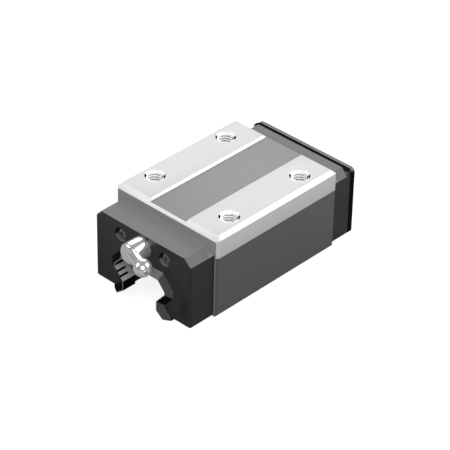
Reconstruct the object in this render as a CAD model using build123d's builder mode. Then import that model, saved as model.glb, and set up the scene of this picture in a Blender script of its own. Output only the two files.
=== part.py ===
"""Recirculating-ball linear bearing block, narrow pattern, for a 23 mm wide profile rail.

Millimetres. X runs across the block, Y along the rail, and Z up.
The origin is the centre of the four mounting threads, on the ground top face.
The lubrication end faces -Y.
"""

import os
from math import asin, atan2, cos, degrees, pi, radians, sin

from build123d import *

os.makedirs("parts", exist_ok=True)

# Steel carriage block
block_width = 48.0
block_length = 59.5
block_height = 32.3
ground_side_height = 8.3
rough_side_inset = 0.35
top_side_bevel = 1.5
top_end_bevel = 1.9
corner_bevel = 0.8
bottom_bevel = 0.6
relief_depth = 1.0
relief_floor_width = 16.9
relief_wall_run = 0.5

# Mounting threads, M6, drawn at their core size
mount_spacing_x = 35.0
mount_spacing_y = 35.0
mount_core_radius = 2.5
mount_mouth_radius = 3.35
mount_mouth_angle = 120
mount_depth = 9.0

# Clear space that the rail profile needs, measured at the end seals and up from the block's foot
gap_top_rise = 14.4
gap_top_width = 17.4
gap_head_width = 23.6
gap_head_top_rise = 10.9
gap_head_low_rise = 9.9
gap_waist_width = 15.8
gap_waist_top_rise = 5.3
gap_waist_low_rise = 1.5
gap_foot_width = 21.8
gap_foot_drop = 0.8

# Ball circuits
ball_diameter = 4.762
ball_play = 0.02
row_x = 11.6
upper_row_rise = 14.2
lower_row_rise = 6.0
return_offset = 1.2
raceway_clearance = 0.05
return_clearance = 0.17
turn_clearance = 0.12

# Channel between the legs
ceiling_rise = 16.1
ceiling_slot_width = 20.4
shoulder_rise = 15.4
leg_wall_width = 25.2
ledge_rise = 4.9
leg_foot_width = 22.4

# Ball retainers
retainer_clearance = 0.12
upper_retainer_thickness = 1.1
side_retainer_thickness = 0.65
lower_retainer_width = 2.1
lower_retainer_foot_rise = 2.8

# Side seals under the legs
side_seal_top_rise = 2.3
side_seal_low_rise = 0.6
side_seal_plate_width = 1.8
side_seal_lip_reach = 1.4
side_seal_lip_thickness = 0.45

# Moulded end caps
cap_length = 7.45
cap_side_inset = 1.5
cap_top_z = -4.4
cap_bottom_rise = 0.2
cap_top_bevel = 2.7
cap_bottom_radius = 1.0
cap_rail_clearance = 0.6
guide_wall = 0.5
oil_groove_width = 1.5
oil_groove_depth = 0.8

# End seals
carrier_length = 3.75
carrier_edge_radius = 1.0
lip_seat_depth = 0.6
lip_band = 2.75
lip_land = 0.3
lip_reach = 1.5
lip_foot_drop = 0.75
lip_groove_width = 0.75
lip_groove_depth = 0.6
lip_groove_length = 4.0
rear_rubber_length = 2.1
rear_rubber_inset = 0.3
rear_plate_length = 1.65
rear_plate_cover = 4.1
rear_plate_corner_radius = 1.8
rear_plate_foot_radius = 0.8

# Cap screws, M2.5, pan head with a cross recess
cap_screw_x = 10.4
cap_screw_drop = 0.1
cap_screw_radius = 1.25
cap_screw_clearance = 0.15
cap_screw_fit = 0.02
cap_screw_grip = 6.5
cap_screw_drill_tip = 1.0
cap_screw_head_radius = 2.2
cap_screw_head_height = 1.8
cap_screw_head_round = 1.1
cap_screw_pocket_radius = 2.6
cap_screw_pocket_depth = 2.45
cap_screw_cross_width = 0.6
cap_screw_cross_span = 2.3
cap_screw_cross_depth = 1.0

# Grease port and the angled nipple in it, M6 fine thread
port_lift = 0.375
port_radius = 3.0
port_depth = 5.6
port_feed_radius = 1.25
nipple_shank_length = 5.0
nipple_thread_fit = 0.02
nipple_body_radius = 4.1
nipple_body_length = 7.1
nipple_body_round = 1.6
nipple_elbow_length = 4.85
nipple_angle = 67.5
nipple_neck_radius = 2.3
nipple_head_radius = 3.2
nipple_head_reach = 9.3
nipple_tip_reach = 12.25
nipple_bore_radius = 1.08
nipple_mouth_radius = 0.75
nipple_mouth_depth = 0.5
nipple_feed_radius = 0.8
nipple_spring_seat = 6.75
check_ball_radius = 1.0
check_ball_play = 0.09
check_spring_radius = 0.8
check_spring_wire = 0.24
check_spring_turns = 4

# Values that follow from the sizes above
half_width = block_width / 2
half_length = block_length / 2
foot_z = -block_height
gap_top_z = foot_z + gap_top_rise
gap_head_top_z = foot_z + gap_head_top_rise
gap_head_low_z = foot_z + gap_head_low_rise
gap_waist_top_z = foot_z + gap_waist_top_rise
gap_waist_low_z = foot_z + gap_waist_low_rise
gap_foot_z = foot_z - gap_foot_drop
upper_row_z = foot_z + upper_row_rise
lower_row_z = foot_z + lower_row_rise
ceiling_z = foot_z + ceiling_rise
shoulder_z = foot_z + shoulder_rise
ledge_z = foot_z + ledge_rise
lower_retainer_foot_z = foot_z + lower_retainer_foot_rise
side_seal_top_z = foot_z + side_seal_top_rise
side_seal_low_z = foot_z + side_seal_low_rise
cap_width = block_width - 2 * cap_side_inset
cap_bottom_z = foot_z + cap_bottom_rise
lip_foot_z = foot_z - lip_foot_drop
port_z = (cap_top_z + gap_top_z + lip_band) / 2 + port_lift
cap_screw_z = port_z - cap_screw_drop
rear_plate_top_z = port_z + rear_plate_cover
return_x = (row_x + half_width) / 2 + return_offset
ball_radius = ball_diameter / 2
turn_radius = (return_x - row_x) / 2
turn_x = (return_x + row_x) / 2
turn_tube_radius = ball_radius + turn_clearance
row_heights = (upper_row_z, lower_row_z)
cap_face = half_length + cap_length
carrier_face = cap_face + carrier_length
lip_root = cap_face - lip_seat_depth
guide_top_z = upper_row_z + turn_tube_radius + guide_wall
guide_low_z = lower_row_z - turn_tube_radius - guide_wall
guide_height = guide_top_z - guide_low_z
below_part = lip_foot_z - block_height

# Every end plane faces outwards, away from the block's middle
front = Plane(origin=(0, 0, 0), x_dir=(1, 0, 0), z_dir=(0, -1, 0))
rear = Plane(origin=(0, 0, 0), x_dir=(-1, 0, 0), z_dir=(0, 1, 0))


def save(piece, name):
    """Names a finished piece and writes it."""
    piece.part.label = name
    export_step(piece.part, f"parts/{name}.step")


# Outlines seen along the rail, drawn once and used by several pieces

with BuildSketch() as rail_gap:
    with BuildLine():
        Polyline(
            (0, gap_top_z),
            (gap_top_width / 2, gap_top_z),
            (gap_head_width / 2, gap_head_top_z),
            (gap_head_width / 2, gap_head_low_z),
            (gap_waist_width / 2, gap_waist_top_z),
            (gap_waist_width / 2, gap_waist_low_z),
            (gap_foot_width / 2, gap_foot_z),
            (gap_foot_width / 2, below_part),
            (0, below_part),
        )
        mirror(about=Plane.YZ)
    make_face()


def wider_gap(growth):
    """The rail's clear space, grown all round with sharp corners."""
    return offset(rail_gap.sketch, amount=growth, kind=Kind.INTERSECTION, mode=Mode.PRIVATE)


with BuildSketch() as cap_outline:
    with Locations((0, (cap_top_z + cap_bottom_z) / 2)):
        Rectangle(cap_width, cap_top_z - cap_bottom_z)
    chamfer(cap_outline.vertices().group_by(Axis.Y)[-1], cap_top_bevel)
    fillet(cap_outline.vertices().group_by(Axis.Y)[0], cap_bottom_radius)

with BuildSketch() as lip_window:
    add(wider_gap(lip_band))

row_points = [(side * row_x, z) for side in (-1, 1) for z in row_heights]
return_points = [(side * return_x, z) for side in (-1, 1) for z in row_heights]
turn_points = [(side * turn_x, z) for side in (-1, 1) for z in row_heights]
cap_screw_points = [(side * cap_screw_x, cap_screw_z) for side in (-1, 1)]


# Carriage block: hardened steel, extruded form with ground faces, raceways and return bores
with BuildPart() as carriage_block:
    with BuildSketch(Plane.XZ) as block_section:
        with BuildLine():
            Polyline(
                (0, -relief_depth),
                (relief_floor_width / 2, -relief_depth),
                (relief_floor_width / 2 + relief_wall_run, 0),
                (half_width - top_side_bevel, 0),
                (half_width, -top_side_bevel),
                (half_width, -ground_side_height),
                (half_width - rough_side_inset, -ground_side_height - rough_side_inset),
                (half_width - rough_side_inset, foot_z + bottom_bevel),
                (half_width - rough_side_inset - bottom_bevel, foot_z),
                (leg_foot_width / 2, foot_z),
                (leg_foot_width / 2, ledge_z),
                (leg_wall_width / 2, ledge_z),
                (leg_wall_width / 2, shoulder_z),
                (ceiling_slot_width / 2, shoulder_z),
                (ceiling_slot_width / 2, ceiling_z),
                (0, ceiling_z),
            )
            mirror(about=Plane.YZ)
        make_face()
        with Locations(row_points):
            Circle(ball_radius + raceway_clearance, mode=Mode.SUBTRACT)
        with Locations(return_points):
            Circle(ball_radius + return_clearance, mode=Mode.SUBTRACT)
    extrude(amount=half_length, both=True)

    # 45 degree bevels across the top at both ends
    with BuildSketch(Plane.YZ) as end_bevels:
        with Locations((-half_length, 0), (half_length, 0)):
            Rectangle(top_end_bevel * 2**0.5, top_end_bevel * 2**0.5, rotation=45)
    extrude(amount=half_width, both=True, mode=Mode.SUBTRACT)

    # Bevels down the four corners
    with BuildSketch(Plane.XY) as corner_bevels:
        with GridLocations(block_width, block_length, 2, 2):
            Rectangle(corner_bevel * 2**0.5, corner_bevel * 2**0.5, rotation=45)
    extrude(amount=foot_z, mode=Mode.SUBTRACT)

    # Mounting threads from the top, cap screw threads from both ends
    with GridLocations(mount_spacing_x, mount_spacing_y, 2, 2):
        CounterSinkHole(mount_core_radius, mount_mouth_radius, mount_depth, mount_mouth_angle)
    for end in (front, rear):
        with BuildSketch(end.offset(half_length)):
            with Locations(cap_screw_points):
                Circle(cap_screw_radius + cap_screw_fit)
        extrude(amount=-cap_screw_grip - cap_screw_drill_tip, mode=Mode.SUBTRACT)
save(carriage_block, "carriage_block")


# Return guides: moulded half spools, the inner wall of the two turns on their side
with BuildPart() as front_right_return_guide:
    with BuildSketch(Plane.XY.offset(guide_low_z)) as spool_section:
        with Locations((turn_x, -half_length)):
            Circle(turn_radius)
        with Locations((turn_x, -half_length + turn_radius)):
            Rectangle(2 * turn_radius, 2 * turn_radius, mode=Mode.SUBTRACT)
    extrude(amount=guide_height)
    for z in row_heights:
        with BuildSketch(Plane.XZ.offset(half_length)) as turn_section:
            with Locations((row_x, z)):
                Circle(turn_tube_radius)
        revolve(axis=Axis((turn_x, -half_length, z), (0, 0, 1)), revolution_arc=360, mode=Mode.SUBTRACT)
save(front_right_return_guide, "front_right_return_guide")

with BuildPart() as front_left_return_guide:
    mirror(front_right_return_guide.part, about=Plane.YZ)
save(front_left_return_guide, "front_left_return_guide")

with BuildPart() as rear_right_return_guide:
    mirror(front_right_return_guide.part, about=Plane.XZ)
save(rear_right_return_guide, "rear_right_return_guide")

with BuildPart() as rear_left_return_guide:
    mirror(rear_right_return_guide.part, about=Plane.YZ)
save(rear_left_return_guide, "rear_left_return_guide")


# End cap: moulded, holds the outer wall of the four turns, the grease port and the screws
with BuildPart() as front_end_cap:
    with BuildSketch(front.offset(half_length)) as cap_section:
        add(cap_outline.sketch)
        add(wider_gap(cap_rail_clearance), mode=Mode.SUBTRACT)
        with Locations(cap_screw_points):
            Circle(cap_screw_radius + cap_screw_clearance, mode=Mode.SUBTRACT)
        with Locations((0, port_z)):
            Circle(port_feed_radius, mode=Mode.SUBTRACT)
    extrude(amount=cap_length)

    # Seat for the seal lip's root, and the port's core hole
    with BuildSketch(front.offset(cap_face)) as cap_front_cuts:
        add(lip_window.sketch)
    extrude(amount=-lip_seat_depth, mode=Mode.SUBTRACT)
    with BuildSketch(front.offset(carrier_face)) as cap_port:
        with Locations((0, port_z)):
            Circle(port_radius)
    extrude(amount=-port_depth, mode=Mode.SUBTRACT)

    # Pockets for the return guides, and the turns' outer walls
    with BuildSketch(Plane.XY.offset(guide_low_z)) as guide_pockets:
        with Locations((-turn_x, -half_length), (turn_x, -half_length)):
            Circle(turn_radius)
    extrude(amount=guide_height, mode=Mode.SUBTRACT)
    for x, z in turn_points:
        with BuildSketch(Plane.XZ.offset(half_length)) as turn_section:
            with Locations((x + turn_radius, z)):
                Circle(turn_tube_radius)
        revolve(axis=Axis((x, -half_length, z), (0, 0, 1)), revolution_arc=360, mode=Mode.SUBTRACT)

    # Grease grooves on the face that meets the block, from the port to each side's guide
    with BuildSketch(front.offset(half_length)) as oil_grooves:
        with Locations((0, (port_z + guide_top_z) / 2)):
            Rectangle(oil_groove_width, port_z - guide_top_z + oil_groove_width)
        with Locations((0, guide_top_z)):
            Rectangle(2 * turn_x, oil_groove_width)
    extrude(amount=oil_groove_depth, mode=Mode.SUBTRACT)
save(front_end_cap, "front_end_cap")

with BuildPart() as rear_end_cap:
    mirror(front_end_cap.part, about=Plane.XZ)
save(rear_end_cap, "rear_end_cap")


# Front seal carrier: moulded cover, flush with the cap, rounded at the sides
with BuildPart() as front_seal_carrier:
    with BuildSketch(front.offset(cap_face)):
        add(cap_outline.sketch)
    extrude(amount=carrier_length)
    side_edges = (
        front_seal_carrier.edges()
        .group_by(Axis.Y)[0]
        .filter_by(lambda edge: abs(edge.center().X) > cap_width / 2 - cap_top_bevel)
    )
    fillet(side_edges, carrier_edge_radius)
    with BuildSketch(front.offset(cap_face)):
        add(lip_window.sketch)
        with Locations((0, port_z)):
            Circle(port_radius)
        with Locations(cap_screw_points):
            Circle(cap_screw_radius + cap_screw_clearance)
    extrude(amount=carrier_length, mode=Mode.SUBTRACT)
    with BuildSketch(front.offset(carrier_face)):
        with Locations(cap_screw_points):
            Circle(cap_screw_pocket_radius)
    extrude(amount=-cap_screw_pocket_depth, mode=Mode.SUBTRACT)
save(front_seal_carrier, "front_seal_carrier")


# Seal lip: rubber ring round the rail, with a raised bevelled lip and two wiping grooves
flank_rise = gap_head_low_z - gap_waist_top_z
flank_run = (gap_head_width - gap_waist_width) / 2
flank_angle = degrees(atan2(flank_rise, flank_run))
with BuildPart() as front_seal_lip:
    with BuildSketch(front.offset(lip_root)):
        add(lip_window.sketch)
    extrude(amount=carrier_face - lip_root)
    with BuildSketch(front.offset(carrier_face)):
        add(lip_window.sketch)
    with BuildSketch(front.offset(carrier_face + lip_reach)):
        add(wider_gap(lip_land))
    loft(ruled=True)
    with BuildSketch(front.offset(lip_root)):
        add(rail_gap.sketch)
    extrude(amount=carrier_face + lip_reach - lip_root, mode=Mode.SUBTRACT)
    with BuildSketch(front.offset(carrier_face + lip_reach)):
        for share in (1 / 3, 2 / 3):
            for side in (-1, 1):
                groove_x = side * (gap_waist_width / 2 + share * flank_run)
                with Locations((groove_x, gap_waist_top_z + share * flank_rise)):
                    Rectangle(lip_groove_width, 2 * lip_groove_depth, rotation=side * flank_angle)
    extrude(amount=-lip_groove_length, mode=Mode.SUBTRACT)
    with BuildSketch(front.offset(lip_root)):
        with Locations((0, lip_foot_z)):
            Rectangle(2 * cap_width, 2 * block_height, align=(Align.CENTER, Align.MAX))
    extrude(amount=carrier_face + lip_reach - lip_root, mode=Mode.SUBTRACT)
save(front_seal_lip, "front_seal_lip")

with BuildPart() as rear_seal_lip:
    mirror(front_seal_lip.part, about=Plane.XZ)
save(rear_seal_lip, "rear_seal_lip")


# Rear seal: a rubber layer under a moulded black plate that stands lower than the cap
with BuildPart() as rear_seal_rubber:
    with BuildSketch(rear.offset(cap_face)):
        with Locations((0, (rear_plate_top_z + cap_bottom_z) / 2)):
            Rectangle(
                cap_width - 2 * rear_rubber_inset,
                rear_plate_top_z - cap_bottom_z - 2 * rear_rubber_inset,
            )
        add(lip_window.sketch, mode=Mode.SUBTRACT)
        with Locations(cap_screw_points):
            Circle(cap_screw_radius + cap_screw_clearance, mode=Mode.SUBTRACT)
        with Locations((0, port_z)):
            Circle(port_radius, mode=Mode.SUBTRACT)
    extrude(amount=rear_rubber_length)
save(rear_seal_rubber, "rear_seal_rubber")

with BuildPart() as rear_seal_plate:
    with BuildSketch(rear.offset(cap_face + rear_rubber_length)) as plate_section:
        with Locations((0, (rear_plate_top_z + cap_bottom_z) / 2)):
            Rectangle(cap_width, rear_plate_top_z - cap_bottom_z)
        fillet(plate_section.vertices().group_by(Axis.Y)[-1], rear_plate_corner_radius)
        fillet(plate_section.vertices().group_by(Axis.Y)[0], rear_plate_foot_radius)
        add(lip_window.sketch, mode=Mode.SUBTRACT)
        with Locations(cap_screw_points):
            Circle(cap_screw_radius + cap_screw_clearance, mode=Mode.SUBTRACT)
        with Locations((0, port_z)):
            Circle(port_radius, mode=Mode.SUBTRACT)
    extrude(amount=rear_plate_length)
save(rear_seal_plate, "rear_seal_plate")


# Side seals: strips under the legs, with a thin lip that reaches for the rail's waist
seal_outer_x = leg_foot_width / 2
seal_inner_x = seal_outer_x - side_seal_plate_width
with BuildPart() as right_side_seal:
    with BuildSketch(Plane.XZ) as side_seal_section:
        with BuildLine():
            Polyline(
                (seal_outer_x, side_seal_top_z),
                (seal_inner_x, side_seal_top_z),
                (seal_inner_x - side_seal_lip_reach, side_seal_top_z + side_seal_lip_thickness),
                (seal_inner_x - side_seal_lip_reach, side_seal_top_z),
                (seal_inner_x, side_seal_top_z - side_seal_lip_thickness),
                (seal_inner_x, side_seal_low_z),
                (seal_outer_x, side_seal_low_z),
                close=True,
            )
        make_face()
    extrude(amount=half_length, both=True)
save(right_side_seal, "right_side_seal")

with BuildPart() as left_side_seal:
    mirror(right_side_seal.part, about=Plane.YZ)
save(left_side_seal, "left_side_seal")


# Ball retainers: thin strips that keep the rows in their raceways when the rail is out
with BuildPart() as upper_ball_retainer:
    with BuildSketch(Plane.XZ):
        with Locations((0, ceiling_z - upper_retainer_thickness / 2)):
            Rectangle(2 * (row_x - ball_radius / 2), upper_retainer_thickness)
        with Locations(row_points):
            Circle(ball_radius + retainer_clearance, mode=Mode.SUBTRACT)
    extrude(amount=half_length, both=True)
save(upper_ball_retainer, "upper_ball_retainer")

retainer_wall_x = leg_wall_width / 2
with BuildPart() as right_ball_retainer:
    with BuildSketch(Plane.XZ):
        with Locations((retainer_wall_x - side_retainer_thickness / 2, (upper_row_z + lower_row_z) / 2)):
            Rectangle(side_retainer_thickness, upper_row_z - lower_row_z - ball_radius)
        with Locations(row_points):
            Circle(ball_radius + retainer_clearance, mode=Mode.SUBTRACT)
    extrude(amount=half_length, both=True)
save(right_ball_retainer, "right_ball_retainer")

with BuildPart() as left_ball_retainer:
    mirror(right_ball_retainer.part, about=Plane.YZ)
save(left_ball_retainer, "left_ball_retainer")

with BuildPart() as right_lower_retainer:
    with BuildSketch(Plane.XZ):
        with Locations((seal_outer_x, lower_retainer_foot_z)):
            Rectangle(
                lower_retainer_width,
                lower_row_z - ball_radius / 2 - lower_retainer_foot_z,
                align=(Align.MAX, Align.MIN),
            )
        with Locations(row_points):
            Circle(ball_radius + retainer_clearance, mode=Mode.SUBTRACT)
    extrude(amount=half_length, both=True)
save(right_lower_retainer, "right_lower_retainer")

with BuildPart() as left_lower_retainer:
    mirror(right_lower_retainer.part, about=Plane.YZ)
save(left_lower_retainer, "left_lower_retainer")


# Balls: four endless circuits, each down its raceway, round a turn and back through the block
# A ball is drawn with 26 flats, its corners on the true sphere, to keep the rows light
ball_flat = ball_diameter / (1 + 2 / (1 + 2**0.5) ** 2) ** 0.5
with BuildPart() as ball_form:
    Box(ball_flat, ball_flat, ball_flat)
    chamfer(ball_form.edges(), ball_flat * (1 - 1 / (1 + 2**0.5)) / 2)

turn_length = pi * turn_radius
circuit_length = 2 * (block_length + turn_length)
ball_pitch_on_turn = 2 * turn_radius * asin((ball_diameter + ball_play) / (2 * turn_radius))
ball_count = int(circuit_length / ball_pitch_on_turn)


def circuit_place(way):
    """Where the path's point at this distance lies, as X, Y and the turn of its direction."""
    if way < block_length:
        return row_x, way - half_length, 0
    way -= block_length
    if way < turn_length:
        angle = way / turn_radius
        return turn_x - turn_radius * cos(angle), half_length + turn_radius * sin(angle), -degrees(angle)
    way -= turn_length
    if way < block_length:
        return return_x, half_length - way, 180
    angle = (way - block_length) / turn_radius
    return turn_x + turn_radius * cos(angle), -half_length - turn_radius * sin(angle), 180 - degrees(angle)


for row_name, row_z in (("upper", upper_row_z), ("lower", lower_row_z)):
    ball_places = []
    for index in range(ball_count):
        ball_x, ball_y, ball_turn = circuit_place((index + 0.5) * circuit_length / ball_count)
        ball_places.append(Location((ball_x, ball_y, row_z), (0, 0, ball_turn)))
    with BuildPart() as right_balls:
        with Locations(ball_places):
            add(ball_form.part)
    save(right_balls, f"{row_name}_right_balls")
    with BuildPart() as left_balls:
        mirror(right_balls.part, about=Plane.YZ)
    save(left_balls, f"{row_name}_left_balls")


# Cap screws: two at each end, through the seal and the cap into the block
front_screw_seat = carrier_face - cap_screw_pocket_depth
rear_screw_seat = cap_face + rear_rubber_length + rear_plate_length
for end_name, end, seat in (("front", front, front_screw_seat), ("rear", rear, rear_screw_seat)):
    with BuildPart() as cap_screws:
        with BuildSketch(end.offset(half_length - cap_screw_grip)):
            with Locations(cap_screw_points):
                Circle(cap_screw_radius)
        extrude(amount=seat - half_length + cap_screw_grip)
        with BuildSketch(end.offset(seat)):
            with Locations(cap_screw_points):
                Circle(cap_screw_head_radius)
        extrude(amount=cap_screw_head_height)
        head_rims = cap_screws.edges().group_by(Axis((0, 0, 0), end.z_dir))[-1]
        fillet(head_rims, cap_screw_head_round)
        with BuildSketch(end.offset(seat + cap_screw_head_height)):
            with Locations(cap_screw_points):
                Rectangle(cap_screw_cross_span, cap_screw_cross_width)
                Rectangle(cap_screw_cross_width, cap_screw_cross_span)
        extrude(amount=-cap_screw_cross_depth, mode=Mode.SUBTRACT)
    save(cap_screws, f"{end_name}_cap_screws")


# Rear port plug: a set screw in the unused grease port
plug_face = rear_screw_seat
with BuildPart() as rear_port_plug:
    with BuildSketch(rear.offset(plug_face)):
        with Locations((0, port_z)):
            Circle(port_radius - nipple_thread_fit)
    extrude(amount=-port_depth + nipple_thread_fit)
    with BuildSketch(rear.offset(plug_face)):
        with Locations((0, port_z)):
            RegularPolygon(port_radius / 2, 6, major_radius=False)
    extrude(amount=-port_depth / 2, mode=Mode.SUBTRACT)
save(rear_port_plug, "rear_port_plug")


# Grease nipple: plated steel, screwed into the front port, its head turned out to +X
elbow_y = -carrier_face - nipple_elbow_length
head_direction = (sin(radians(nipple_angle)), -cos(radians(nipple_angle)), 0)
head_axis = Plane(origin=(0, elbow_y, port_z), x_dir=(0, 0, 1), z_dir=head_direction)
bore_plane = Plane(origin=head_axis.origin, x_dir=(0, 0, 1), z_dir=-head_axis.y_dir)
mouth_start = nipple_tip_reach - nipple_mouth_depth
with BuildPart() as grease_nipple:
    with BuildSketch(front.offset(carrier_face)):
        with Locations((0, port_z)):
            Circle(port_radius - nipple_thread_fit)
    extrude(amount=-nipple_shank_length)
    with BuildSketch(front.offset(carrier_face)):
        with Locations((0, port_z)):
            Circle(nipple_body_radius)
    extrude(amount=nipple_body_length)
    fillet(grease_nipple.edges().group_by(Axis.Y)[0], nipple_body_round)
    with BuildSketch(head_axis):
        Circle(nipple_neck_radius)
    extrude(amount=nipple_head_reach)
    with Locations(head_axis.offset(nipple_head_reach)):
        Sphere(nipple_head_radius)
    with BuildSketch(head_axis.offset(nipple_tip_reach)):
        Circle(nipple_head_radius)
    extrude(amount=nipple_head_radius, mode=Mode.SUBTRACT)
    # Feed drilling along the thread, then the valve bore with its coned mouth
    with BuildSketch(front.offset(carrier_face - nipple_shank_length)):
        with Locations((0, port_z)):
            Circle(port_feed_radius)
    extrude(amount=nipple_shank_length + nipple_elbow_length, mode=Mode.SUBTRACT)
    with BuildSketch(head_axis):
        Circle(nipple_feed_radius)
    extrude(amount=nipple_spring_seat, mode=Mode.SUBTRACT)
    with BuildSketch(bore_plane) as valve_bore:
        with BuildLine():
            Polyline(
                (0, nipple_spring_seat),
                (nipple_bore_radius, nipple_spring_seat),
                (nipple_bore_radius, mouth_start),
                (nipple_mouth_radius, nipple_tip_reach),
                (0, nipple_tip_reach),
                close=True,
            )
        make_face()
    revolve(axis=Axis(head_axis.origin, head_direction), mode=Mode.SUBTRACT)
save(grease_nipple, "grease_nipple")

check_ball_reach = nipple_tip_reach - (check_ball_radius**2 - nipple_mouth_radius**2) ** 0.5 - check_ball_play
with BuildPart() as nipple_check_ball:
    with Locations(head_axis.offset(check_ball_reach)):
        Sphere(check_ball_radius)
save(nipple_check_ball, "nipple_check_ball")

# Check spring: a small coil between the bore's shoulder and the ball
spring_contact = (check_ball_radius**2 - check_spring_radius**2) ** 0.5
spring_start = nipple_spring_seat + check_spring_wire / 2
spring_end = check_ball_reach - spring_contact - check_spring_wire
spring_length = spring_end - spring_start
with BuildPart() as nipple_spring:
    with BuildLine() as spring_line:
        Helix(
            spring_length / check_spring_turns,
            spring_length,
            check_spring_radius,
            center=head_axis.offset(spring_start).origin,
            direction=head_direction,
        )
    with BuildSketch(Plane(origin=spring_line.line @ 0, z_dir=spring_line.line % 0)):
        Rectangle(check_spring_wire, check_spring_wire)
    sweep(is_frenet=True)
save(nipple_spring, "nipple_spring")
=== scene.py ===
"""Looks of a recirculating-ball linear bearing block, dressed over its CAD frame."""

from math import acos, atan2, cos, degrees, pi, radians, sin, sqrt

import bmesh
import bpy
from mathutils import Matrix, Vector


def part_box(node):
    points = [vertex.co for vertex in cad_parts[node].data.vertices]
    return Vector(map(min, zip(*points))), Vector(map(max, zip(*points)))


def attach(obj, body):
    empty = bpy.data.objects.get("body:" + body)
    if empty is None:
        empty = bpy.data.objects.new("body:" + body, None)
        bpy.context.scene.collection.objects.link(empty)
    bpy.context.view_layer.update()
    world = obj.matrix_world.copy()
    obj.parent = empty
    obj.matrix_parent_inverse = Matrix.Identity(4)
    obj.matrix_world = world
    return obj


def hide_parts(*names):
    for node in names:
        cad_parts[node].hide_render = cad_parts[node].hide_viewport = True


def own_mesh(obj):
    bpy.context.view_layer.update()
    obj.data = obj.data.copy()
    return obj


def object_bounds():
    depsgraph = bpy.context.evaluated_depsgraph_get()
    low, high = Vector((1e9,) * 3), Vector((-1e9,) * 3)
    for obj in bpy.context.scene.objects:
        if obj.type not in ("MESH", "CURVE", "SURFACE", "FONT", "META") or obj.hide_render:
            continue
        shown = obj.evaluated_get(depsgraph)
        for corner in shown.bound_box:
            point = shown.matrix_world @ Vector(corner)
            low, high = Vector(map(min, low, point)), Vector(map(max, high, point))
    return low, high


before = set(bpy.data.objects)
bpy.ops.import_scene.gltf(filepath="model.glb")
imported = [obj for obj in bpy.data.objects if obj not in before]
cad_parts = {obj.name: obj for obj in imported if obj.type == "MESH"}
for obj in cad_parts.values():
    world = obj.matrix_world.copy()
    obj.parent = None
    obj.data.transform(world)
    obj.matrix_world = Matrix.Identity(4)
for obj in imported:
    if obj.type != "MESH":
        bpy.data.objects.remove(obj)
cad_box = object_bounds()
mm = 0.001


# Carriage block
# The hardened steel body that bolts to the table. Its top strips, bevels and the band along each
# side are ground bright, and the bevels are painted brighter still as a painted highlight; the relief
# between the strips and the rest is left dull or black.

class Value:
    """A number or colour inside a finish. Arithmetic on it adds the Math nodes."""

    def __init__(self, finish, socket):
        self.finish = finish
        self.socket = socket

    def maths(self, operation, *terms):
        return self.finish.node("ShaderNodeMath", {"operation": operation}, dict(enumerate(terms)))

    def __add__(self, other):
        return self.maths("ADD", self, other)

    def __sub__(self, other):
        return self.maths("SUBTRACT", self, other)

    def __rsub__(self, other):
        return self.maths("SUBTRACT", other, self)

    def __mul__(self, other):
        return self.maths("MULTIPLY", self, other)

    def __gt__(self, other):
        return self.maths("GREATER_THAN", self, other)

    __radd__ = __add__
    __rmul__ = __mul__


class Finish:
    """A surface finish: one Principled shader and the nodes that vary it."""

    def __init__(self, name, constants):
        self.material = bpy.data.materials.new(name)
        self.material.use_nodes = True
        self.tree = self.material.node_tree
        self.shader = self.tree.nodes["Principled BSDF"]
        for socket, value in constants.items():
            self.shader.inputs[socket].default_value = value
        self.material.diffuse_color = constants["Base Color"]

    def node(self, kind, settings, inputs, output=0):
        """A new node's output, once its settings are made and its sockets set or linked."""
        made = self.tree.nodes.new(kind)
        for setting, value in settings.items():
            setattr(made, setting, value)
        for socket, value in inputs.items():
            if isinstance(value, Value):
                self.tree.links.new(value.socket, made.inputs[socket])
            else:
                made.inputs[socket].default_value = value
        return Value(self, made.outputs[output])

    def set(self, socket, value):
        self.tree.links.new(value.socket, self.shader.inputs[socket])

    def place(self, stretch=(1, 1, 1)):
        """Where the surface's point is, in metres, stretched along each axis."""
        spot = self.node("ShaderNodeTexCoord", {}, {}, "Object")
        return self.node("ShaderNodeMapping", {}, {"Vector": spot, "Scale": stretch})

    def grain(self, cells, cells_along=None):
        """Noise from 0 to 1 with this many cells to the metre, and its own number along the block."""
        spot = self.place((cells, cells_along or cells, cells))
        return self.node("ShaderNodeTexNoise", {}, {"Vector": spot, "Scale": 1.0, "Detail": 2.0})

    def wander(self, roughness, spread, grain):
        """Lets the roughness wander with the grain, by the spread either way."""
        self.set("Roughness", grain * (2 * spread) + (roughness - spread))

    def mix(self, share, first, second):
        """The first colour, or the second where the share is 1."""
        colours = {"Factor": share, "A": first, "B": second}
        return self.node("ShaderNodeMix", {"data_type": "RGBA"}, colours, "Result")

    def bump(self, height, depth):
        """Raises the surface by the height, depth metres at 1."""
        made = self.node("ShaderNodeBump", {}, {"Height": height, "Distance": depth, "Strength": 1.0})
        self.set("Normal", made)


def grey(level):
    """A neutral colour from its level on screen, 0 to 255."""
    share = level / 255
    linear = share / 12.92 if share <= 0.04045 else ((share + 0.055) / 1.055) ** 2.4
    return (linear, linear, linear, 1.0)


def steel(name, level, roughness, metallic, grit, glow=0.0):
    """A ground or rough steel, with fine grinding lines along the block."""
    finish = Finish(name, {"Base Color": grey(level), "Metallic": metallic, "Emission Strength": glow})
    finish.wander(roughness, grit, finish.grain(9000, cells_along=500))
    return finish


ground_steel = steel("ground_steel", 217, 0.45, 0.10, 0.03)
ground_side_steel = steel("ground_side_steel", 215, 0.45, 0.10, 0.03)
relief_steel = steel("relief_steel", 149, 0.55, 0.10, 0.03)
black_side_steel = steel("black_side_steel", 101, 0.55, 0.10, 0.03)
end_steel = steel("end_steel", 160, 0.50, 0.10, 0.03)
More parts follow.
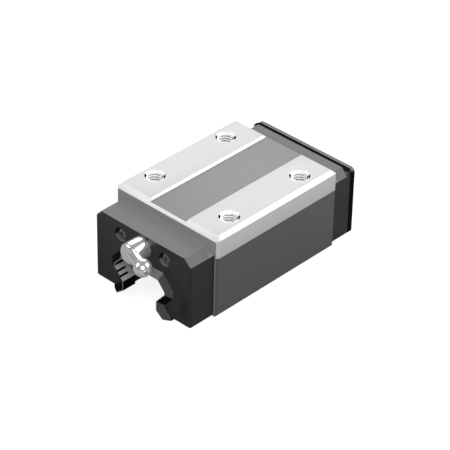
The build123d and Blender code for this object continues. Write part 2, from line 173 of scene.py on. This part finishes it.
# The bright flanks of a thread light one another, which a small glow stands in for
thread_steel = steel("thread_steel", 252, 0.35, 0.20, 0.02, glow=0.2)
# Painted shade: the thread's root is a dark copy of the bright thread steel
thread_root_shade_steel = steel("thread_root_shade_steel", 75, 0.60, 0.0, 0.02)
# Painted highlight: the bevels are brighter copies of the ground steel, as if the lamps caught them
bevel_highlight_steel = steel("bevel_highlight_steel", 248, 0.40, 0.35, 0.03)
end_bevel_highlight_steel = steel("end_bevel_highlight_steel", 252, 0.45, 0.26, 0.03)
# Dull black: the rear seal's own black rubber, and painted shade on faces turned away from the light, the
# holes' shaded stretches, the mouldings' faces to the block and the lips' turned-away faces
dull_black_and_shade = Finish("dull_black_and_shade", {"Base Color": grey(8), "Roughness": 0.7, "Specular IOR Level": 0.08})
block_finishes = [
    ground_steel, relief_steel, black_side_steel, end_steel, thread_steel, bevel_highlight_steel,
    ground_side_steel, thread_root_shade_steel, end_bevel_highlight_steel, dull_black_and_shade,
]
skin_weld = 0.0005 * mm
spin_weld = 0.001 * mm
flat_turn = radians(0.5)
corner_turn = radians(28)


def merged_form(node):
    """The node's triangles as one closed skin, with its flat faces whole again."""
    form = bmesh.new()
    form.from_mesh(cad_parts[node].data)
    bmesh.ops.remove_doubles(form, verts=form.verts[:], dist=skin_weld)
    bmesh.ops.dissolve_limit(form, angle_limit=flat_turn, verts=form.verts[:], edges=form.edges[:])
    return form


def break_edges(form, width, sharpest, wanted):
    """Breaks the sharp edges that are wanted with a fine rounded bevel."""
    sharp = [
        edge for edge in form.edges
        if len(edge.link_faces) == 2 and edge.calc_face_angle(0) > sharpest and wanted(edge)
    ]
    bmesh.ops.bevel(
        form, geom=sharp, offset=width, offset_type="OFFSET", affect="EDGES",
        segments=2, profile=0.5, material=-1, clamp_overlap=True,
    )


def smooth_but_for_corners(form):
    """Shades the form smooth, with a crisp edge wherever it turns a corner."""
    for face in form.faces:
        face.smooth = True
    for edge in form.edges:
        edge.smooth = len(edge.link_faces) == 2 and edge.calc_face_angle(0) < corner_turn


def dress(form, finishes, finish_of):
    """Gives each face of the form the one of the finishes that suits it."""
    for face in form.faces:
        face.normal_update()
        face.material_index = finishes.index(finish_of(face))


def put_in_order(form):
    """Numbers the form's parts by their places, because operators can leave them in a chance order."""
    for number, vert in enumerate(sorted(form.verts, key=lambda vert: tuple(vert.co))):
        vert.index = number
    form.verts.sort()
    for parts in (form.edges, form.faces):
        ranked = sorted(parts, key=lambda part: sorted(vert.index for vert in part.verts))
        for number, part in enumerate(ranked):
            part.index = number
        parts.sort()


def make_piece(name, form, finishes, body, slot, *nodes):
    """Turns a finished form into a piece of the object that rides on its body."""
    put_in_order(form)
    mesh = bpy.data.meshes.new(name)
    form.to_mesh(mesh)
    form.free()
    for finish in finishes:
        mesh.materials.append(finish.material)
    piece = bpy.data.objects.new(name, mesh)
    bpy.context.scene.collection.objects.link(piece)
    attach(piece, body)
    if nodes:
        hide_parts(*nodes)
    return piece


def combine(base, tool, operation):
    """The base with the tool's form cut from it or joined to it. Both forms are used up."""
    objects = []
    for form in (base, tool):
        bmesh.ops.triangulate(form, faces=form.faces[:])
        put_in_order(form)
        mesh = bpy.data.meshes.new("shaping")
        form.to_mesh(mesh)
        form.free()
        # Empty slots keep each face's finish through the cut, and the block has the most
        for finish in block_finishes:
            mesh.materials.append(None)
        shaping = bpy.data.objects.new("shaping", mesh)
        bpy.context.scene.collection.objects.link(shaping)
        objects.append(shaping)
    cut = objects[0].modifiers.new("cut", "BOOLEAN")
    cut.operation = operation
    cut.solver = "EXACT"
    cut.material_mode = "INDEX"
    cut.object = objects[1]
    evaluated = objects[0].evaluated_get(bpy.context.evaluated_depsgraph_get())
    form = bmesh.new()
    form.from_mesh(evaluated.to_mesh())
    evaluated.to_mesh_clear()
    for shaping in objects:
        mesh = shaping.data
        bpy.data.objects.remove(shaping)
        bpy.data.meshes.remove(mesh)
    put_in_order(form)
    bmesh.ops.dissolve_limit(
        form, angle_limit=flat_turn, verts=form.verts[:], edges=form.edges[:], delimit={"MATERIAL"},
    )
    return form


hole_spacing = 35 * mm
hole_offsets = (-hole_spacing / 2, hole_spacing / 2)
hole_places = [Vector((x, y, 0)) for x in hole_offsets for y in hole_offsets]
hole_surround = 5 * mm
relief_floor = -1.0 * mm
relief_reach = 10 * mm
ground_band = -8.3 * mm
band_edge = 0.1 * mm
end_bevel = 1.9 * mm
leg_outside = 22 * mm
edge_break = 0.12 * mm

block = merged_form("carriage_block")
bmesh.ops.bisect_plane(
    block, geom=block.verts[:] + block.edges[:] + block.faces[:],
    plane_co=(0, 0, ground_band), plane_no=(0, 0, 1), dist=skin_weld,
)


def on_outside(edge):
    """Whether an edge is on the block's outer skin, clear of its holes and channel."""
    middle = (edge.verts[0].co + edge.verts[1].co) / 2
    near_hole = any((middle.xy - place.xy).length < hole_surround for place in hole_places)
    in_channel = abs(middle.x) < leg_outside and middle.z < relief_floor - end_bevel
    return not near_hole and not in_channel


def block_finish(face):
    """The finish that a face of the block has by its place and the way it faces, with a painted highlight on
    the bevels.
    """
    middle = face.calc_center_median()
    up, side, along = face.normal.z, abs(face.normal.x), abs(face.normal.y)
    bevelled = 0.4 < up < 0.9
    if up > 0.9 and middle.z < relief_floor / 2 and abs(middle.x) < relief_reach:
        return relief_steel
    if side > 0.5 and (bevelled or along > 0.5 and middle.z > ground_band):
        return bevel_highlight_steel
    if bevelled and along > 0.5:
        return end_bevel_highlight_steel
    if along > 0.9:
        return end_steel
    if side > 0.5 and middle.z < ground_band - band_edge:
        return black_side_steel
    if middle.z < ground_band:
        return end_steel
    return ground_side_steel if side > 0.5 else ground_steel


break_edges(block, edge_break, radians(20), on_outside)
dress(block, block_finishes, block_finish)

thread_pitch = 1.0 * mm
thread_turns = 9
thread_major_radius = 3.0 * mm
thread_flank_radius = 2.79 * mm
thread_minor_radius = 2.45 * mm
thread_root_radius = 2.85 * mm
thread_foot = -8.5 * mm
thread_steps = 32
thread_profile = (
    (0, thread_minor_radius),
    (0.25 * thread_pitch, thread_minor_radius),
    (0.45 * thread_pitch, thread_flank_radius),
    (0.575 * thread_pitch, thread_major_radius),
    (0.675 * thread_pitch, thread_major_radius),
)
shade_bearing = Vector((0.73, 0.68))
shade_edge = 0.95


def in_shade(spot):
    """Whether a spot round a hole's axis is on the two short stretches where shade is painted black."""
    return abs(spot.xy.normalized().dot(shade_bearing)) > shade_edge


def thread_finish(face):
    """Bright on the thread's flanks, with painted shade dark in its root and painted shade black on the
    shaded stretches.
    """
    middle = face.calc_center_median()
    if in_shade(middle):
        return dull_black_and_shade
    return thread_root_shade_steel if middle.xy.length > thread_root_radius else thread_steel


threads = bmesh.new()
outline = []
for turn in range(thread_turns):
    turn_foot = thread_foot + turn * thread_pitch
    for height, radius in thread_profile:
        outline.append(threads.verts.new((radius, 0, turn_foot + height)))
outline.append(threads.verts.new((thread_minor_radius, 0, thread_foot + thread_turns * thread_pitch)))
wall = [threads.edges.new(pair) for pair in zip(outline, outline[1:])]
bmesh.ops.spin(
    threads, geom=outline + wall, cent=(0, 0, 0), axis=(0, 0, 1), angle=2 * pi, steps=thread_steps,
    dvec=(0, 0, thread_pitch / thread_steps), use_merge=False, use_normal_flip=False,
)
bmesh.ops.remove_doubles(threads, verts=threads.verts[:], dist=spin_weld)
bmesh.ops.holes_fill(threads, edges=[edge for edge in threads.edges if edge.is_boundary], sides=0)
bmesh.ops.triangulate(threads, faces=threads.faces[:])
bmesh.ops.recalc_face_normals(threads, faces=threads.faces[:])
dress(threads, block_finishes, thread_finish)
first_verts = threads.verts[:]
first_thread = first_verts + threads.edges[:] + threads.faces[:]
for place in hole_places[1:]:
    copied = bmesh.ops.duplicate(threads, geom=first_thread)["geom"]
    copied_verts = [part for part in copied if isinstance(part, bmesh.types.BMVert)]
    bmesh.ops.translate(threads, verts=copied_verts, vec=place)
bmesh.ops.translate(threads, verts=first_verts, vec=hole_places[0])

countersink_radius = 3.65 * mm
countersink_depth = 0.65 * mm
countersink_lift = 0.05 * mm


def countersink_finish(face):
    """Bright but for the stretches of painted shade."""
    middle = face.calc_center_median()
    nearest = min(hole_places, key=lambda place: (middle - place).length)
    return dull_black_and_shade if in_shade(middle - nearest) else thread_steel


countersinks = bmesh.new()
for place in hole_places:
    middle = place + Vector((0, 0, (countersink_lift - countersink_depth) / 2))
    bmesh.ops.create_cone(
        countersinks, cap_ends=True, segments=48, radius1=thread_major_radius,
        radius2=countersink_radius + countersink_lift, depth=countersink_depth + countersink_lift,
        matrix=Matrix.Translation(middle),
    )
dress(countersinks, block_finishes, countersink_finish)

block = combine(block, threads, "DIFFERENCE")
block = combine(block, countersinks, "DIFFERENCE")
smooth_but_for_corners(block)
make_piece("ground_carriage_block", block, block_finishes, "bearing_block", "ground_steel", "carriage_block")


# Ball retainers and return guides
# Moulded strips that hold the rows in their raceways with the rail taken out, and half spools
# that turn the balls round at each end. The end caps hold them all in place.

retainer_plastic = Finish("retainer_plastic", {"Base Color": (0.60, 0.58, 0.52, 1.0)})
retainer_plastic.wander(0.5, 0.06, retainer_plastic.grain(3000))
retainer_plastic.bump(retainer_plastic.grain(5000), 0.003 * mm)


def refinish(node, finish):
    """Gives a piece that keeps its own form its finish."""
    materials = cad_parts[node].data.materials
    materials.clear()
    materials.append(finish.material)


for node in (
    "upper_ball_retainer", "left_ball_retainer", "right_ball_retainer", "left_lower_retainer",
    "right_lower_retainer", "front_left_return_guide", "front_right_return_guide",
    "rear_left_return_guide", "rear_right_return_guide",
):
    refinish(node, retainer_plastic)


# Load balls
# Four endless rows of polished bearing steel balls. Each row runs down its raceway, round a
# turn in the cap and back through the block.

ball_steel = Finish("polished_ball_steel", {"Base Color": (0.72, 0.72, 0.73, 1.0), "Metallic": 1.0})
ball_steel.wander(0.08, 0.02, ball_steel.grain(1500))


def lumps(form):
    """The separate lumps of a form, each as its list of vertices."""
    waiting = set(form.verts)
    found = []
    for start in form.verts:
        if start not in waiting:
            continue
        waiting.discard(start)
        lump = [start]
        for vert in lump:
            for edge in vert.link_edges:
                other = edge.other_vert(vert)
                if other in waiting:
                    waiting.discard(other)
                    lump.append(other)
        found.append(lump)
    return found


for row in ("upper_left", "upper_right", "lower_left", "lower_right"):
    flat_balls = merged_form(f"{row}_balls")
    balls = bmesh.new()
    for lump in lumps(flat_balls):
        centre = sum((vert.co for vert in lump), Vector()) / len(lump)
        ball_radius = max((vert.co - centre).length for vert in lump)
        bmesh.ops.create_uvsphere(
            balls, u_segments=28, v_segments=16, radius=ball_radius, matrix=Matrix.Translation(centre),
        )
    flat_balls.free()
    smooth_but_for_corners(balls)
    make_piece(f"{row}_bearing_balls", balls, [ball_steel], "bearing_block", "ball_steel", f"{row}_balls")


# Side seals
# Rubber strips pressed into the feet of the legs, so that no dirt reaches the lower rows.


def mottled_rubber(name, darkest, palest):
    """A rubber with a fine mottle between two levels."""
    finish = Finish(name, {"Base Color": grey(palest), "Roughness": 0.6, "Specular IOR Level": 0.3})
    finish.set("Base Color", finish.mix(finish.grain(2500), grey(darkest), grey(palest)))
    return finish


seal_rubber = mottled_rubber("seal_rubber", 126, 168)
refinish("left_side_seal", seal_rubber)
refinish("right_side_seal", seal_rubber)


# End caps and the front seal carrier
# Black glass-filled plastic mouldings with a fine spark texture, screwed to the block's ends.
# The carrier covers the front cap flush and holds the seal lip.

spark_cells = 6000
spark_depth = 0.004 * mm
cap_plastic = Finish(
    "black_cap_plastic", {"Base Color": grey(38), "Roughness": 0.32, "Specular IOR Level": 0.5},
)
cap_plastic.bump(cap_plastic.grain(spark_cells), spark_depth)

# Painted light: the caps' upward faces are a paler, lit copy of the black plastic
open_cap_lit_tone = grey(127)
near_block_lit_tone = grey(162)
seam_shadow_tone = grey(8)
block_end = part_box("carriage_block")[1][1]
palest_end = block_end + 0.6 * mm
fade_end = block_end + 3.4 * mm
seam_low, seam_high = (corner[1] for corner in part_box("rear_seal_rubber"))
seam_shadow_rim = 0.25 * mm
cap_top_lit_plastic = Finish("lit_top_cap_plastic", {"Base Color": open_cap_lit_tone, "Specular IOR Level": 0.3})
cap_top_lit_plastic.wander(0.6, 0.06, cap_top_lit_plastic.grain(spark_cells))
along_block = cap_top_lit_plastic.node("ShaderNodeSeparateXYZ", {}, {"Vector": cap_top_lit_plastic.place()}, "Y")
from_middle = cap_top_lit_plastic.node("ShaderNodeMath", {"operation": "ABSOLUTE"}, {0: along_block})
# Painted light: each cap top is paler over the first millimetres next to the block, which lifts the shade
# that the block casts there
near_block = cap_top_lit_plastic.node(
    "ShaderNodeMapRange", {"interpolation_type": "SMOOTHSTEP"},
    {"Value": from_middle, "From Min": palest_end, "From Max": fade_end, "To Min": 1.0, "To Max": 0.0},
)
cap_top_lit_tone = cap_top_lit_plastic.mix(near_block, open_cap_lit_tone, near_block_lit_tone)
# Painted shadow: a black line along the rear seal's joint on the cap's and plate's top faces, a little wider
# on top than the rubber in it
on_seam_shadow = (along_block > seam_low - seam_shadow_rim) * (1 - (along_block > seam_high + seam_shadow_rim))
cap_top_lit_tone = cap_top_lit_plastic.mix(on_seam_shadow, cap_top_lit_tone, seam_shadow_tone)
cap_top_lit_plastic.set("Base Color", cap_top_lit_tone)
moulding_finishes = [cap_plastic, cap_top_lit_plastic, dull_black_and_shade]


def make_moulding(node, painted_shade_sides=False):
    """A black moulding, with painted light making its upper faces paler than its sides, and painted shade on
    its face to the block and, where asked, on its sides.
    """

    def moulding_finish(face):
        distance = face.calc_center_median().y
        towards_block = face.normal.y * distance < -0.9 * abs(distance)
        # Painted light on the upward faces; painted shade on the face to the block and on shaded sides
        if face.normal.z > 0.4:
            return cap_top_lit_plastic
        if towards_block or painted_shade_sides and abs(face.normal.x) > 0.7:
            return dull_black_and_shade
        return cap_plastic

    moulding = merged_form(node)
    smooth_but_for_corners(moulding)
    dress(moulding, moulding_finishes, moulding_finish)
    make_piece(f"moulded_{node}", moulding, moulding_finishes, "bearing_block", "black_plastic", node)


make_moulding("front_end_cap")
make_moulding("rear_end_cap")
make_moulding("front_seal_carrier")


# Seal lips
# One-piece rubber rings round the rail's opening, bevelled to a thin edge that wipes the rail.

# Painted light: the wiping slope is a pale copy of the lip's rubber; painted shade: faces turned right are a
# darker copy
lit_wiping_rubber = Finish("lit_wiping_rubber", {"Base Color": grey(225), "Roughness": 0.4})
shaded_side_rubber = mottled_rubber("shaded_side_rubber", 62, 104)
lip_finishes = [seal_rubber, lit_wiping_rubber, dull_black_and_shade, shaded_side_rubber]
flank_top = Vector((11.8, -22.4)) * mm
flank_foot = Vector((7.9, -27.0)) * mm
flank_run = (flank_top - flank_foot).normalized()
groove_clearance = 0.1 * mm


def on_flank(face):
    """Whether a lip's face is on the slope that wipes the rail's flank, clear of its grooves."""
    middle = face.calc_center_median()
    from_foot = Vector((abs(middle.x), middle.z)) - flank_foot
    along = from_foot.dot(flank_run)
    above = from_foot.length_squared - along**2
    return above < groove_clearance**2 and abs(face.normal.y) < 0.1


def lip_finish(face):
    """Painted light on the slope that wipes the rail, painted shade black on faces along the rail or turned
    down or left, a darker painted-shade copy on faces turned right, and grey where it lies open.
    """
    if on_flank(face):
        return lit_wiping_rubber
    if abs(face.normal.y) <= 0.1 or face.normal.z <= -0.2 or face.normal.x <= -0.2:
        return dull_black_and_shade
    return shaded_side_rubber if face.normal.x > 0.3 else seal_rubber


for node in ("front_seal_lip", "rear_seal_lip"):
    lip = merged_form(node)
    smooth_but_for_corners(lip)
    dress(lip, lip_finishes, lip_finish)
    make_piece(f"rubber_{node}", lip, lip_finishes, "bearing_block", "seal_rubber", node)


# Rear seal
# A rubber layer between the rear cap and a moulded black plate, which stands lower than the cap.

# Painted light: the layer's face towards the cap is painted pale, like a lit cap top
lit_edge_plastic = Finish("cap_lit_edge_plastic", {"Base Color": grey(165), "Specular IOR Level": 0.3})
lit_edge_plastic.wander(0.6, 0.06, lit_edge_plastic.grain(spark_cells))
layer_finishes = [dull_black_and_shade, cap_plastic, lit_edge_plastic]


def layer_finish(face):
    """Like the caps on the layer's sides, painted light on its face towards the cap, and dull black
    elsewhere, partly its own black rubber and partly painted shade.
    """
    if abs(face.normal.x) > 0.5:
        return cap_plastic
    return lit_edge_plastic if face.normal.y < -0.5 else dull_black_and_shade


rubber_layer = merged_form("rear_seal_rubber")
smooth_but_for_corners(rubber_layer)
dress(rubber_layer, layer_finishes, layer_finish)
make_piece(
    "rear_rubber_layer", rubber_layer, layer_finishes, "bearing_block", "seal_rubber", "rear_seal_rubber",
)
# The plate's narrow sides carry painted shade
make_moulding("rear_seal_plate", painted_shade_sides=True)


# Cap screws and the rear port's set screw
# M2.5 screws with blackened, domed heads and a cross recess, and an M6 set screw in the unused port.

screw_steel = Finish("blackened_screw_steel", {"Base Color": grey(145), "Metallic": 0.8})
screw_steel.wander(0.2, 0.04, screw_steel.grain(4000))


def turned(outline, steps=48):
    """A form turned on a lathe about Z from an outline of (radius, height) points."""
    form = bmesh.new()
    points = [form.verts.new((radius, 0, height)) for radius, height in outline]
    cuts = [form.edges.new(pair) for pair in zip(points, points[1:])]
    bmesh.ops.spin(
        form, geom=points + cuts, cent=(0, 0, 0), axis=(0, 0, 1), angle=2 * pi, steps=steps,
        use_merge=True, use_normal_flip=False,
    )
    bmesh.ops.remove_doubles(form, verts=form.verts[:], dist=spin_weld)
    bmesh.ops.recalc_face_normals(form, faces=form.faces[:])
    return form


def arc(centre_radius, centre_height, radius, first, last, steps=6):
    """Outline points round an arc, angles in degrees from straight outwards."""
    angles = [radians(first + (last - first) * step / steps) for step in range(steps + 1)]
    return [(centre_radius + radius * cos(a), centre_height + radius * sin(a)) for a in angles]


def bar(width, height, low, high):
    """A square-edged bar along Z."""
    form = bmesh.new()
    middle = Matrix.Translation((0, 0, (low + high) / 2))
    bmesh.ops.create_cube(form, size=1.0, matrix=middle @ Matrix.Diagonal((width, height, high - low, 1)))
    return form


outwards = {
    "front": Matrix.Rotation(radians(90), 4, "X"),
    "rear": Matrix.Rotation(radians(-90), 4, "X"),
}
screw_head_height = 1.8 * mm
screw_rim_round = 1.1 * mm
screw_head_dome = 0.1 * mm
screw_shank_radius = 1.25 * mm
cross_width = 0.6 * mm
cross_span = 2.3 * mm
cross_depth = 1.0 * mm
for end, turn in outwards.items():
    screw_low, screw_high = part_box(f"{end}_cap_screws")
    screw_head_radius = (screw_high[2] - screw_low[2]) / 2
    screw_z = (screw_high[2] + screw_low[2]) / 2
    crown = -screw_low[1] if end == "front" else screw_high[1]
    foot = -screw_high[1] if end == "front" else screw_low[1]
    seat = crown - screw_head_height
    rim_centre = screw_head_radius - screw_rim_round
    rim_height = crown - screw_head_dome - screw_rim_round
    screw_outline = (
        [(0, foot), (screw_shank_radius, foot), (screw_shank_radius, seat), (screw_head_radius, seat)]
        + arc(rim_centre, rim_height, screw_rim_round, 0, 80)
        + [(0, crown)]
    )
    pair = bmesh.new()
    for side in (-1, 1):
        screw = turned(screw_outline)
        for width, height in ((cross_span, cross_width), (cross_width, cross_span)):
            screw = combine(screw, bar(width, height, crown - cross_depth, crown + cross_depth), "DIFFERENCE")
        screw_x = side * (screw_high[0] - screw_head_radius)
        screw.transform(Matrix.Translation((screw_x, 0, screw_z)) @ turn)
        made = bpy.data.meshes.new("one_screw")
        screw.to_mesh(made)
        screw.free()
        pair.from_mesh(made)
        bpy.data.meshes.remove(made)
    smooth_but_for_corners(pair)
    make_piece(
        f"{end}_domed_screws", pair, [screw_steel], "bearing_block", "dark_screw_steel", f"{end}_cap_screws",
    )

refinish("rear_port_plug", screw_steel)


# Grease nipple
# A turned and plated steel fitting screwed into the front port. Its ball head, set at an angle to
# clear the rail, takes the grease gun; a spring holds a small ball shut in the mouth.

nipple_plate = Finish("bright_nipple_plating", {"Base Color": (0.95, 0.95, 0.95, 1.0), "Metallic": 0.68})
nipple_plate.wander(0.1, 0.02, nipple_plate.grain(3000))
nipple_low, nipple_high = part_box("grease_nipple")
port_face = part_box("front_seal_carrier")[0][1]
port_z = (nipple_low[2] + nipple_high[2]) / 2
body_radius = (nipple_high[2] - nipple_low[2]) / 2
body_length = 7.1 * mm
body_round = 1.6 * mm
shank_radius = 2.98 * mm
shank_length = 5.0 * mm
feed_radius = 1.25 * mm
elbow_reach = 4.85 * mm
head_angle = radians(67.5)
neck_radius = 2.3 * mm
head_radius = 3.198 * mm
head_reach = 9.3 * mm
tip_reach = 12.25 * mm
mouth_radius = 0.75 * mm
mouth_depth = 0.5 * mm
bore_radius = 1.08 * mm
bore_start = 6.75 * mm

body = turned(
    [(feed_radius, -shank_length), (shank_radius, -shank_length), (shank_radius, 0), (body_radius, 0)]
    + arc(body_radius - body_round, body_length - body_round, body_round, 0, 90, 10)
    + [(0, body_length), (0, elbow_reach), (feed_radius, elbow_reach), (feed_radius, -shank_length)],
)
body.transform(Matrix.Translation((0, port_face, port_z)) @ outwards["front"])

tip_radius = sqrt(head_radius**2 - (tip_reach - head_reach) ** 2)
head_tip_angle = degrees(atan2(tip_reach - head_reach, tip_radius))
head_neck_angle = degrees(acos(neck_radius / head_radius))
head = turned(
    [(0, 0), (neck_radius, 0)]
    + arc(0, head_reach, head_radius, -head_neck_angle, head_tip_angle, 20)
    + [(mouth_radius, tip_reach), (bore_radius, tip_reach - mouth_depth)]
    + [(bore_radius, bore_start), (0, bore_start)],
)
elbow = Matrix.Translation((0, port_face - elbow_reach, port_z))
head_place = elbow @ Matrix.Rotation(head_angle, 4, "Z") @ outwards["front"]
head.transform(head_place)
nipple = combine(body, head, "UNION")
smooth_but_for_corners(nipple)
make_piece("plated_grease_nipple", nipple, [nipple_plate], "bearing_block", "plated_steel", "grease_nipple")

check_low, check_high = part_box("nipple_check_ball")
check_centre = (Vector(check_low) + Vector(check_high)) / 2
check_ball = bmesh.new()
bmesh.ops.create_uvsphere(
    check_ball, u_segments=32, v_segments=20, radius=(check_high[2] - check_low[2]) / 2,
    matrix=Matrix.Translation(check_centre),
)
smooth_but_for_corners(check_ball)
make_piece("polished_check_ball", check_ball, [ball_steel], "check_ball", "ball_steel", "nipple_check_ball")

spring_steel = Finish("spring_wire", {"Base Color": (0.55, 0.55, 0.57, 1.0), "Metallic": 1.0})
spring_steel.wander(0.25, 0.05, spring_steel.grain(8000))
ball_travel = 0.8 * mm
head_axis = head_place.to_3x3() @ Vector((0, 0, 1))
coil = merged_form("nipple_spring")
smooth_but_for_corners(coil)
reaches = [vert.co.dot(head_axis) for vert in coil.verts]
coil_length = max(reaches) - min(reaches)
spring = make_piece(
    "check_ball_spring", coil, [spring_steel], "bearing_block", "spring_steel", "nipple_spring",
)
1 - ball_travel / coil_length
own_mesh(spring)


# Studio
# A plain white floor and backdrop, with a ring of four broad lamps round the block.

camera_data = bpy.data.cameras.new("camera")
camera_data.lens = 183.0
camera_data.sensor_width = 36.0
camera_data.clip_end = 10.0
camera = bpy.data.objects.new("camera", camera_data)
camera.location = Vector((445.2, -478.9, 428.8)) * mm
camera.rotation_euler = [radians(angle) for angle in (55.502, -0.964, 43.617)]
bpy.context.scene.collection.objects.link(camera)
bpy.context.scene.camera = camera

floor_reach = 4.0
floor_drop = 0.05 * mm
floor_form = bmesh.new()
bmesh.ops.create_grid(floor_form, x_segments=1, y_segments=1, size=floor_reach)
bmesh.ops.translate(floor_form, verts=floor_form.verts[:], vec=(0, 0, cad_box[0][2] - floor_drop))
floor_mesh = bpy.data.meshes.new("studio_floor")
floor_form.to_mesh(floor_mesh)
floor_form.free()
floor_finish = Finish("pale_floor", {
    "Base Color": (0.40, 0.40, 0.40, 1.0), "Roughness": 0.9, "Specular IOR Level": 0.0,
    "Emission Strength": 0.85,
})
floor_finish.set("Emission Color", floor_finish.node("ShaderNodeLightPath", {}, {}, "Is Camera Ray"))
floor_mesh.materials.append(floor_finish.material)
floor = bpy.data.objects.new("studio_floor", floor_mesh)
bpy.context.scene.collection.objects.link(floor)

lamp_distance = 0.8
lamp_size = 0.55
lamp_elevation = radians(35)


def area_lamp(name, bearing, radiance):
    """A square lamp that faces the block from this bearing, in degrees."""
    lamp_data = bpy.data.lights.new(name, "AREA")
    lamp_data.shape = "SQUARE"
    lamp_data.size = lamp_size
    lamp_data.energy = radiance * pi * lamp_size**2
    lamp = bpy.data.objects.new(name, lamp_data)
    reach = lamp_distance * cos(lamp_elevation)
    height = lamp_distance * sin(lamp_elevation)
    lamp.location = (reach * cos(radians(bearing)), reach * sin(radians(bearing)), height)
    lamp.rotation_euler = lamp.location.to_track_quat("Z", "Y").to_euler()
    bpy.context.scene.collection.objects.link(lamp)


area_lamp("right_rear_lamp", 45, 3.2)
area_lamp("left_rear_lamp", 135, 2.8)
area_lamp("left_front_lamp", -135, 2.0)
area_lamp("right_front_lamp", -45, 2.4)

world_light = 0.15
world_seen = 1.0
world = bpy.data.worlds.new("white_studio")
world.use_nodes = True
bpy.context.scene.world = world
tree = world.node_tree
background = tree.nodes["Background"]
background.inputs["Color"].default_value = (1, 1, 1, 1)
rays = tree.nodes.new("ShaderNodeLightPath")
strength = tree.nodes.new("ShaderNodeMix")
strength.inputs["A"].default_value = world_light
strength.inputs["B"].default_value = world_seen
tree.links.new(rays.outputs["Is Camera Ray"], strength.inputs["Factor"])
tree.links.new(strength.outputs["Result"], background.inputs["Strength"])

bpy.context.scene.view_settings.view_transform = "Standard"
